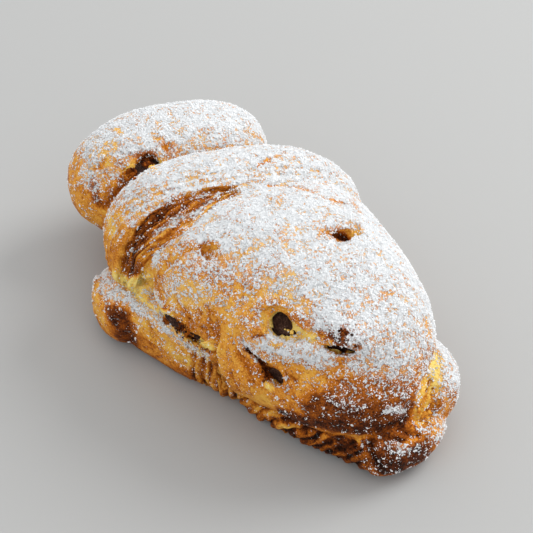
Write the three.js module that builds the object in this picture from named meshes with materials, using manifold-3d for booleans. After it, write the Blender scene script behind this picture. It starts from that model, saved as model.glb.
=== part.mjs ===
// A croissant cookie: a filled pastry rolled from one laminated sheet, with a broad outer wrap over
// narrower wraps that step down to the far end. Millimetres, +Z up, standing on its flat baked base.
// +X runs along the roll towards its narrow end, -Y is the side where the roll has burst open.
import * as THREE from 'three';
import Module from 'manifold-3d';
import { mergeVertices } from 'three/addons/utils/BufferGeometryUtils.js';

const wasm = await Module();
wasm.setup();

const DEG = Math.PI / 180;
const MELT = 2.2; // how far the lumps of one wrap run into each other
const CRUST = 4.2; // dough between the outer surface and the filling
const LAYER = 3.4; // thickness of the layer of filling
const GAP = 0.4; // between the filling and the dough round it
const FINE = 0.15; // triangles closer to flat than this are joined
const HIDDEN_FINE = 0.12; // the same round the filling
const OUTER_HEART = [10, 2, 22]; // a point well inside the outer wrap
const OUTER_REACH = [36, 26, 22]; // roughly how far the outer wrap reaches from there

// The outer wrap is one sheet over several swellings. Each lump has a centre, half sizes, how far it
// drops below its centre, a turn about the vertical and a squareness p.
const OUTER = {
  dome: { at: [13, 4.5, 23], half: [36, 25, 24], drop: 7.5, yaw: 8, p: 2.4, taper: 0.24 },
  wrapEdge: { at: [0, 2.5, 22.5], half: [15.5, 28, 23], drop: 9, yaw: -24, p: 2.6 },
  shoulder: { at: [-3, -11.5, 26], half: [17, 12, 13.5], drop: 5.5 },
  chin: { at: [26, -5, 19], half: [24, 15, 13], drop: 10, yaw: 22 },
  chinEnd: { at: [38, 0, 16], half: [12, 10, 9], drop: 8, yaw: 35 },
  jaw: { at: [15, -14, 17.5], half: [8.5, 8.5, 10], drop: 9, yaw: 22 },
  brow: { at: [28, -11, 33.3], half: [11, 4.4, 4.4], yaw: 32 },
  blister: { at: [37.6, -3.3, 37.7], half: [3, 3, 2.8] },
};

const FAR_END = {
  fold: { at: [-51, 7.2, 23], half: [14, 25.5, 15.5], drop: 14, yaw: -22, p: 2.5 },
  nose: { at: [-57, -11, 19.5], half: [11, 10, 11.5], drop: 8, yaw: -22 },
  lip: { at: [-48, -8, 18], half: [9, 10, 9], yaw: -30 },
};

// The other wraps, each a roll or a ball of dough. The folds are where the edges of the layers show.
const ROLLS = {
  farWrap: {
    at: [-18.3, 3.8, 23.5], half: [18.5, 34, 23], drop: 17, yaw: -25, segments: 36, rings: 10,
    folds: { from: -3, to: 12, count: 6, depth: 1.2 },
  },
  seam: {
    at: [-4.5, -16.6, 10], half: [29, 9.6, 11], yaw: 18, p: 3, segments: 22, rings: 10,
    folds: { from: 3, to: 18, count: 5, depth: 1 },
  },
  skirt: {
    at: [28, -2.6, 6.5], half: [27, 13, 9], yaw: 20, segments: 24, rings: 8,
    folds: { from: -14, to: 14, count: 9, depth: 1.1 },
  },
};
const BALLS = {
  farFoot: { at: [-42, 3, 8], half: [15, 20, 9], yaw: -22, p: 2.5, detail: 4 },
  nearEnd: { at: [41, 14, 13], half: [12, 12, 12] },
  nearTip: { at: [48, 5, 7], half: [9, 13, 8] },
  cap: { at: [-26, -25, 8.5], half: [10.5, 9, 9], yaw: -10 },
  core: { at: [-3, 2, 12], half: [54, 18, 12], p: 2.4, detail: 4 },
  back: { at: [-4, 22, 10], half: [34, 11, 11], yaw: -2, p: 2.5, detail: 6 },
};

// The openings: each is a rounded plug set into the surface, facing the way given.
const HOLES = {
  topEye: { at: [17.6, 10.9, 46.9], toward: [0.1, -0.1, 1], half: [3.8, 2.3, 2.4], turn: 62 },
  topDimple: { at: [-0.6, -16.2, 43.6], toward: [0.1, -0.5, 0.87], half: [2.5, 2.2, 2.4], turn: 40 },
  mouth: { at: [24.8, -13.9, 37.5], toward: [0.4, -0.65, 0.6], half: [2.8, 3.1, 6.5] },
  mouthFlare: { at: [26, -14, 38], toward: [0.35, -0.75, 0.55], half: [6.5, 3.6, 2.6], turn: -20 },
  sideSlot: { at: [38.8, -6.2, 36.3], toward: [0.6, -0.55, 0.6], half: [4.3, 1.1, 5.5], turn: -6 },
  crease: { at: [25, -19.4, 28.6], toward: [0.3, -0.85, 0.45], half: [8.5, 1.1, 2.8], turn: -28 },
  creaseHole: { at: [29.6, -18.6, 26], toward: [0.35, -0.75, 0.55], half: [2.8, 2.2, 6.5], turn: -40 },
  farPit: { at: [-43.9, -5.6, 34], toward: [0.35, -0.45, 0.82], half: [3.4, 2.3, 5], turn: 20 },
  slit: { at: [-1.6, -24.8, 21.3], toward: [0.5, -0.6, 0.62], half: [8.5, 2, 5.5], turn: -21 },
  slitEnd: { at: [8, -23.6, 21.7], toward: [0.5, -0.6, 0.62], half: [4.5, 1.8, 3], turn: -18 },
  nearPore: { at: [51.7, 8, 14.5], toward: [0.8, -0.3, 0.5], half: [0.7, 0.7, 2] },
};

// The filling: part of a layer under the outer wrap, and the rope of it that runs to the far end.
const FILLING = {
  extent: { at: [14, -12, 27], half: [31, 19, 19], p: 2.8, detail: 3 },
  slitLip: { at: [-2, -22.2, 20.8], half: [7.5, 2.6, 2], yaw: 14, detail: 3 },
  farKnob: { at: [-44.5, -5.2, 28.8], half: [5.4, 5.4, 4.2], detail: 3 },
  rope: { at: [-24, -4, 28], half: [28, 5, 4], yaw: 4, tilt: -4, segments: 12, rings: 8 },
};

function solid(geometry) {
  geometry.deleteAttribute('normal');
  geometry.deleteAttribute('uv');
  const g = mergeVertices(geometry, 1e-4);
  return new wasm.Manifold(new wasm.Mesh({
    numProp: 3,
    vertProperties: new Float32Array(g.attributes.position.array),
    triVerts: new Uint32Array(g.index.array),
  }));
}

// How far a point is outside a rounded lump of dough (negative inside), in millimetres.
function lump({ at, half, drop = half[2], yaw = 0, taper = 0, p = 2.3 }) {
  const centre = new THREE.Vector3(...at);
  const up = new THREE.Vector3(0, 0, 1);
  const size = (half[0] + half[1] + half[2]) / 3;
  const q = new THREE.Vector3();
  return (point) => {
    q.copy(point).sub(centre).applyAxisAngle(up, -yaw * DEG);
    const x = q.x / half[0];
    const y = q.y / half[1] / (1 - taper * THREE.MathUtils.clamp(x, -1, 1));
    const z = q.z / (q.z < 0 ? drop : half[2]);
    const reach = (Math.abs(x) ** p + Math.abs(y) ** p + Math.abs(z) ** p) ** (1 / p);
    return (reach - 1) * size;
  };
}

// Several lumps as one swelling surface with soft valleys between them.
function meld(lumps, melt = MELT) {
  const parts = Object.values(lumps).map(lump);
  return (point) => -melt * Math.log(parts.reduce((sum, f) => sum + Math.exp(-f(point) / melt), 0));
}

// The surface of a field: each corner of a ball slides in from outside until it is inset under it.
function skin({ heart, reach, yaw = 0, field, inset = 0, detail }) {
  const g = new THREE.IcosahedronGeometry(1, detail);
  const corners = g.attributes.position;
  const origin = new THREE.Vector3(...heart);
  const scale = new THREE.Vector3(...reach);
  const up = new THREE.Vector3(0, 0, 1);
  const d = new THREE.Vector3();
  const p = new THREE.Vector3();
  const outside = (t) => field(p.copy(origin).addScaledVector(d, t)) + inset > 0;
  for (let i = 0; i < corners.count; i += 1) {
    d.fromBufferAttribute(corners, i).normalize().multiply(scale).applyAxisAngle(up, yaw * DEG);
    let inner = 2.5;
    while (inner > 0.05 && outside(inner)) inner -= 0.05;
    let outer = inner + 0.05;
    for (let k = 0; k < 16; k += 1) {
      const middle = (inner + outer) / 2;
      if (outside(middle)) outer = middle;
      else inner = middle;
    }
    p.copy(origin).addScaledVector(d, inner);
    corners.setXYZ(i, p.x, p.y, p.z);
  }
  return solid(g);
}

const outerField = meld(OUTER);
const outerWrap = (inset, detail) => skin({
  heart: OUTER_HEART, reach: OUTER_REACH, field: outerField, inset, detail,
});
const ball = ({ detail = 5, ...shape }) => skin({
  heart: shape.at, reach: shape.half, yaw: shape.yaw, field: lump(shape), detail,
});
const grown = (shape, grow) => ({ ...shape, half: shape.half.map((size) => size + grow) });

// The rings of a roll that is rounded at both ends, with sharp folds cut round part of its length.
function ringStations({ half, rings, p, folds }) {
  const stations = [];
  for (let i = 1; i < rings; i += 1) {
    const x = -half * Math.cos((i / rings) * Math.PI);
    if (!folds || x < folds.from || x > folds.to) stations.push({ x, cut: 0 });
  }
  for (let i = 0; folds && i <= 2 * folds.count; i += 1) {
    const x = folds.from + ((folds.to - folds.from) * i) / (2 * folds.count);
    const cut = i % 2 ? folds.depth * (0.7 + 0.3 * Math.sin(5 * i)) : 0;
    stations.push({ x, cut });
  }
  stations.sort((a, b) => a.x - b.x);
  return stations.map(({ x, cut }) => ({ x, cut, r: (1 - Math.abs(x / half) ** p) ** (1 / p) }));
}

// A roll of dough about its own length: rings of a squarish oval, closed with a point at each end.
function roll({ at, half, drop = half[2], yaw = 0, tilt = 0, p = 2.4, segments, rings, folds }) {
  const stations = ringStations({ half: half[0], rings, p, folds });
  const squarish = (t) => Math.sign(t) * Math.abs(t) ** (2 / p);
  const corner = ({ x, r, cut }, k) => {
    const a = (k / segments) * 2 * Math.PI;
    const high = Math.sin(a) < 0 ? drop : half[2];
    return [x, squarish(Math.cos(a)) * (half[1] * r - cut), squarish(Math.sin(a)) * (high * r - cut)];
  };
  const faces = [];
  const foot = [-half[0], 0, 0];
  const head = [half[0], 0, 0];
  const last = stations.length - 1;
  for (let k = 0; k < segments; k += 1) {
    const n = (k + 1) % segments;
    faces.push(foot, corner(stations[0], n), corner(stations[0], k));
    faces.push(head, corner(stations[last], k), corner(stations[last], n));
    for (let i = 0; i < last; i += 1) {
      const near = [corner(stations[i], k), corner(stations[i], n)];
      const far = [corner(stations[i + 1], k), corner(stations[i + 1], n)];
      faces.push(near[0], near[1], far[1], near[0], far[1], far[0]);
    }
  }
  const g = new THREE.BufferGeometry();
  g.setAttribute('position', new THREE.Float32BufferAttribute(faces.flat(), 3));
  g.rotateY(tilt * DEG).rotateZ(yaw * DEG).translate(...at);
  return solid(g);
}

function plug({ at, toward, half, turn = 0 }) {
  const out = new THREE.Vector3(...toward).normalize();
  const side = new THREE.Vector3(0, 0, 1).cross(out).normalize();
  const rise = out.clone().cross(side);
  const g = new THREE.IcosahedronGeometry(1, 2)
    .scale(...half)
    .rotateZ(turn * DEG)
    .applyMatrix4(new THREE.Matrix4().makeBasis(side, rise, out))
    .translate(...at);
  return solid(g);
}

function makeFilling(grow) {
  return outerWrap(CRUST - grow, 4)
    .subtract(outerWrap(CRUST + LAYER + grow, 4))
    .intersect(ball(grown(FILLING.extent, grow)))
    .add(ball(grown(FILLING.slitLip, grow)))
    .add(ball(grown(FILLING.farKnob, grow)))
    .add(roll(grown(FILLING.rope, grow)))
    .simplify(HIDDEN_FINE);
}

function makeDough() {
  const farEnd = skin({
    heart: [-51, 4, 22], reach: [15, 26, 15], yaw: -22, field: meld(FAR_END, 1.6), detail: 7,
  });
  const wraps = [farEnd, ...Object.values(ROLLS).map(roll), ...Object.values(BALLS).map(ball)];
  const table = solid(new THREE.BoxGeometry(200, 200, 40).translate(0, 0, -20));
  const whole = wraps.reduce((dough, wrap) => dough.add(wrap), outerWrap(0, 13));
  return Object.values(HOLES)
    .map(plug)
    .reduce((dough, hole) => dough.subtract(hole), whole.subtract(table))
    .simplify(FINE)
    .subtract(makeFilling(GAP));
}

function toMesh(name, shape, material) {
  const { vertProperties, triVerts } = shape.getMesh();
  const g = new THREE.BufferGeometry();
  g.setAttribute('position', new THREE.BufferAttribute(new Float32Array(vertProperties), 3));
  g.setIndex(new THREE.BufferAttribute(new Uint32Array(triVerts), 1));
  const mesh = new THREE.Mesh(g, material);
  mesh.name = name;
  return mesh;
}

const dough = makeDough();
const { min, max } = dough.boundingBox();
const toCentre = [-(min[0] + max[0]) / 2, -(min[1] + max[1]) / 2, 0];
const baked = new THREE.MeshStandardMaterial({ color: 0xc98a4a, roughness: 0.75, metalness: 0 });
const chocolate = new THREE.MeshStandardMaterial({ color: 0x35201a, roughness: 0.5, metalness: 0 });

const croissant = new THREE.Group();
croissant.add(toMesh('dough', dough.translate(toCentre), baked));
croissant.add(toMesh('filling', makeFilling(0).translate(toCentre), chocolate));

export default croissant;
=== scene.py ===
# %% [markdown]
# # A croissant cookie under icing sugar
#
# The real thing is a filled croissant: one sheet of laminated dough, rolled up round dark chocolate,
# baked until it burst open along its front, and dusted with icing sugar. The solid model gives its
# wraps, its openings and its filling at true size. Blender adds what a solid can't hold: the edges of
# the layers, the colours of the bake, the pores of the crumb, and thousands of grains of sugar.
#
# All shapes are worked out in millimetres, and turned into metres where they go into a mesh.

# %% Load the solid model
import itertools
import math
from collections import namedtuple

import bmesh
import bpy
import numpy as np
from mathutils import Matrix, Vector
from mathutils.bvhtree import BVHTree


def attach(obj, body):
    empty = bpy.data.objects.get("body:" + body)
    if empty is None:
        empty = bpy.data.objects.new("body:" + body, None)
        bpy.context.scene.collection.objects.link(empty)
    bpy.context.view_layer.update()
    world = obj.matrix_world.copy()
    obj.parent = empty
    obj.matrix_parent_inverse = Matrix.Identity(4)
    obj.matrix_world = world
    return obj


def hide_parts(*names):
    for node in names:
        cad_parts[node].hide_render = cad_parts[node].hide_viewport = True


MM = 0.001
SEED = 7
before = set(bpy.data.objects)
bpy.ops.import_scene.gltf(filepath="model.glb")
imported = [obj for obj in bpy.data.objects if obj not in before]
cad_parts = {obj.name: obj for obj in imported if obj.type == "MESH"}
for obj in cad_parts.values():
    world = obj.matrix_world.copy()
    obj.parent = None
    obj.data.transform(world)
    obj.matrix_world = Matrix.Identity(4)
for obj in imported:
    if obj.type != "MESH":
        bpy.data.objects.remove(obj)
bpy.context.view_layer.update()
rng = np.random.default_rng(SEED)


def add_object(name, data):
    made = bpy.data.objects.new(name, data)
    bpy.context.collection.objects.link(made)
    return made


# %% [markdown]
# ## The camera
#
# A photograph of food is often taken from about 45 degrees with a long lens. Its place could be typed
# in as three numbers, but a camera described by its direction, its distance and the scale of the
# picture is easier to adjust, so its position is worked out from those. The narrow end of the roll
# points at the viewer, a little to the right.

# %% Camera
AZIMUTH = math.radians(54)
ELEVATION = math.radians(45)
DISTANCE = 440
PIXELS_PER_MM = 3.96
IMAGE = 533
SENSOR = 36
CLIP_START = 10
MIDDLE = Vector((6.0, -1.1, 22.0))
MIDDLE_SEEN_AT = (264, 285)

back = Vector((
    math.sin(AZIMUTH) * math.cos(ELEVATION),
    -math.cos(AZIMUTH) * math.cos(ELEVATION),
    math.sin(ELEVATION),
))
right = Vector((math.cos(AZIMUTH), math.sin(AZIMUTH), 0))
up = back.cross(right)
aim = (
    MIDDLE
    + right * (IMAGE / 2 - MIDDLE_SEEN_AT[0]) / PIXELS_PER_MM
    + up * (MIDDLE_SEEN_AT[1] - IMAGE / 2) / PIXELS_PER_MM
)

camera = add_object("camera", bpy.data.cameras.new("camera"))
camera.data.sensor_width = SENSOR
camera.data.lens = SENSOR * PIXELS_PER_MM * DISTANCE / IMAGE
camera.data.clip_start = CLIP_START * MM
camera.location = (aim + back * DISTANCE) * MM
camera.rotation_mode = "QUATERNION"
camera.rotation_quaternion = (-back).to_track_quat("-Z", "Y")
bpy.context.scene.camera = camera
print("lens", round(camera.data.lens, 1), "mm")

# %% [markdown]
# ## Small helpers
#
# Dough is uneven at every scale. Smooth random noise, sampled at each corner of the mesh, gives that
# unevenness, and a soft step turns a distance into a mask with a gentle edge. They are used all
# through this lesson. The noise comes from a net of random arrows, one at each crossing: between
# crossings, what the nearest arrows say is blended, so it never jumps.

# %% Noise and soft steps
NET = 32
REACH = 1.7
SEED_SHIFT = np.array([17.3, 5.1, 9.7])
ARROWS = rng.normal(size=(NET, NET, NET, 3))
ARROWS /= np.linalg.norm(ARROWS, axis=3, keepdims=True)


def uneven(points, size, seed):
    """Smooth noise between about -1 and 1, whose swellings are about size mm apart."""
    place = points / size + seed * SEED_SHIFT
    cell = np.floor(place).astype(int)
    inside = place - cell
    ease = inside**3 * (inside * (6 * inside - 15) + 10)
    total = np.zeros(len(points))
    for corner in itertools.product((0, 1), repeat=3):
        arrow = ARROWS[tuple(((cell + corner) % NET).T)]
        weight = np.where(np.array(corner) == 1, ease, 1 - ease).prod(axis=1)
        total += weight * ((inside - corner) * arrow).sum(axis=1)
    return REACH * total


def soft_step(low, high, value):
    t = np.clip((value - low) / (high - low), 0, 1)
    return t * t * (3 - 2 * t)


def mix(a, b, amount):
    return a + (b - a) * amount


def unit(vector):
    v = np.array(vector, dtype=float)
    return v / np.linalg.norm(v)


print("noise from a net of", NET**3, "arrows")

# %% [markdown]
# ## From faceted solid to soft dough
#
# The solid has flat facets. A subdivision surface would keep their pattern, so the crust is remade
# from voxels instead: an even net of small squares, ignorant of the old facets, that can then be
# relaxed and carved like clay. Half a millimetre is fine enough to keep the slit and the small
# openings. That makes a heavy mesh, so it is thinned afterwards, most of all on the flat underside.

# %% Pieces made from solids
SAME_PLACE = 1e-6


def merged_mesh(node, swell=0.0):
    """A copy of a solid's mesh as a bmesh, its loose triangles joined and swollen by some mm."""
    bm = bmesh.new()
    bm.from_mesh(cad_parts[node].data)
    bmesh.ops.remove_doubles(bm, verts=bm.verts, dist=SAME_PLACE)
    bm.normal_update()
    for corner, normal in [(v, v.normal.copy()) for v in bm.verts]:
        corner.co += normal * swell * MM
    return bm


def new_piece(name, bm):
    mesh = bpy.data.meshes.new(name)
    bm.to_mesh(mesh)
    bm.free()
    return add_object(name, mesh)


def keep_result(piece):
    """Replace a piece's mesh by what its modifiers make of it."""
    evaluated = piece.evaluated_get(bpy.context.evaluated_depsgraph_get())
    made = bpy.data.meshes.new_from_object(evaluated)
    old = piece.data
    piece.modifiers.clear()
    piece.data = made
    made.name = piece.name
    bpy.data.meshes.remove(old)


# %% Remesh and relax
RELAX_ROUNDS = 3


def remesh(piece, voxel):
    modifier = piece.modifiers.new("voxels", "REMESH")
    modifier.mode = "VOXEL"
    modifier.voxel_size = voxel * MM
    keep_result(piece)


def relax(piece):
    """Let each corner slide halfway to the middle of its neighbours, a few times."""
    bm = bmesh.new()
    bm.from_mesh(piece.data)
    for _ in range(RELAX_ROUNDS):
        bmesh.ops.smooth_vert(
            bm, verts=bm.verts, factor=0.5, use_axis_x=True, use_axis_y=True, use_axis_z=True
        )
    bm.to_mesh(piece.data)
    bm.free()


# %% Measure, move and thin out
BASE_HEIGHT = 0.15
FACING_DOWN = -0.98
BASE_THINNED_BY = 0.9


def corners(piece):
    """The corners of a mesh and their normals, in mm."""
    count = len(piece.data.vertices)
    points = np.empty(count * 3)
    piece.data.vertices.foreach_get("co", points)
    normals = np.empty(count * 3)
    piece.data.vertex_normals.foreach_get("vector", normals)
    return points.reshape(-1, 3) / MM, normals.reshape(-1, 3)


def move_corners(piece, points):
    piece.data.vertices.foreach_set("co", (points * MM).ravel())
    piece.data.update()


def triangle_count(piece):
    return sum(len(p.vertices) - 2 for p in piece.data.polygons)


def thin_out(piece, wanted):
    """Join small triangles until about the wanted number is left, first on the flat underside."""
    points, normals = corners(piece)
    flat = (points[:, 2] < BASE_HEIGHT) & (normals[:, 2] < FACING_DOWN)
    group = piece.vertex_groups.new(name="thin here")
    group.add(np.nonzero(flat)[0].tolist(), 1.0, "REPLACE")
    base = piece.modifiers.new("base", "DECIMATE")
    base.vertex_group = group.name
    base.ratio = 1 - BASE_THINNED_BY * flat.mean()
    keep_result(piece)
    piece.vertex_groups.clear()
    rest = piece.modifiers.new("rest", "DECIMATE")
    rest.ratio = min(1.0, wanted / triangle_count(piece))
    keep_result(piece)


# %% The crust's first mesh
CRUST_VOXEL = 0.5
CRUST_TRIANGLES = 136000

crust = new_piece("crust", merged_mesh("dough"))
remesh(crust, CRUST_VOXEL)
relax(crust)
print("crust from voxels:", triangle_count(crust), "triangles")
thin_out(crust, CRUST_TRIANGLES)
print("crust thinned out:", triangle_count(crust), "triangles")

# %% [markdown]
# ## Charts of the rolls
#
# The layers and the pleats follow the wraps that they belong to. A point's place in a wrap's own
# frame, along its axis, across it and above it, says which layer edge or pleat it is on. The layers
# fan out between two lines, the rim of the far wrap and the edge of the dome, so their chart is given
# by those two lines: how far along the axis each lies, for several angles round the wrap. A chart
# also gives a mask, 1 where its layers or pleats are and 0 elsewhere.

# %% Where the layers and the pleats are
FAR_WRAP = dict(at=(-12.3, 2.7, 23.5), yaw=-25)
SEAM = dict(at=(1.5, -17.7, 10), yaw=18)
SKIRT = dict(at=(34, -3.7, 6.5), yaw=20)
LAYER_ANGLES = (-8, 0, 10, 23, 35, 44, 53, 66, 79, 92)
LAYERS_START = (7.8, 8.0, 8.2, 8.1, 7.2, 6.2, 5.5, 5.3, 5.2, 5.6)
LAYERS_END = (12.6, 12.9, 13.5, 13.9, 15.2, 15.9, 15.6, 12.1, 8.9, 7.6)
LAYERS = 6
WRAP_CORE = 14
SKIRT_PLEAT = 4.0
SEAM_PLEAT = 2.4


def in_frame_of(points, at, yaw):
    a = math.radians(yaw)
    d = points - np.array(at)
    along = d[:, 0] * math.cos(a) + d[:, 1] * math.sin(a)
    across = d[:, 1] * math.cos(a) - d[:, 0] * math.sin(a)
    return along, across, d[:, 2]


# %% Charts of the layers and of the pleats
def layers_chart(points):
    """How far over the layers a point is, from 0 to 1, its angle round the wrap, and a mask."""
    along, across, above = in_frame_of(points, **FAR_WRAP)
    angle = np.degrees(np.arctan2(above, -across))
    start = np.interp(angle, LAYER_ANGLES, LAYERS_START)
    end = np.interp(angle, LAYER_ANGLES, LAYERS_END)
    over = (along - start) / (end - start) + 0.05 * uneven(points, 3.5, 51)
    mask = soft_step(-0.04, 0.03, over) * (1 - soft_step(0.93, 1.03, over))
    mask *= soft_step(-11, -6, angle) * (1 - soft_step(82, 95, angle))
    return over, angle, mask * (np.hypot(across, above) > WRAP_CORE)


def pleats_chart(points):
    """Which pleat of the skirt or the seam a point is on, how high it is, and a mask."""
    along, across, above = in_frame_of(points, **SKIRT)
    front = (across < -4) * (above < 4.5)
    skirt = front * (1 - soft_step(18, 23, np.abs(along))) * (points[:, 2] < 12)
    skirt_pleat = (along - 0.7 * above + 2.2 * uneven(points, 9, 5)) / SKIRT_PLEAT
    along, across, above = in_frame_of(points, **SEAM)
    front = (across < -3) * (above < 8)
    seam = front * soft_step(1, 5, along) * (1 - soft_step(17, 20, along))
    seam_pleat = (along - 0.1 * above + 0.6 * uneven(points, 6, 7)) / SEAM_PLEAT
    return np.where(seam > skirt, seam_pleat, skirt_pleat), above, np.maximum(skirt, seam)


print(LAYERS, "layers between", LAYER_ANGLES[0], "and", LAYER_ANGLES[-1], "degrees round the wrap")

# %% [markdown]
# ## A finer net where the layers show
#
# The edges of the layers are about a millimetre apart, too fine for the net of the whole crust. Only
# the faces in those places are subdivided, which keeps the mesh small everywhere else.


# %% Refine the layered places
def refine(piece, chart):
    bm = bmesh.new()
    bm.from_mesh(piece.data)
    middles = np.array([f.calc_center_median()[:] for f in bm.faces]) / MM
    wanted = chart(middles)[2] > 0.1
    edges = {edge for face, keep in zip(bm.faces, wanted) if keep for edge in face.edges}
    bmesh.ops.subdivide_edges(bm, edges=list(edges), cuts=1, use_grid_fill=True)
    bmesh.ops.triangulate(bm, faces=[f for f in bm.faces if len(f.verts) > 4])
    bm.to_mesh(piece.data)
    bm.free()


refine(crust, layers_chart)
refine(crust, layers_chart)
print("crust after refining:", triangle_count(crust), "triangles")
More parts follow.
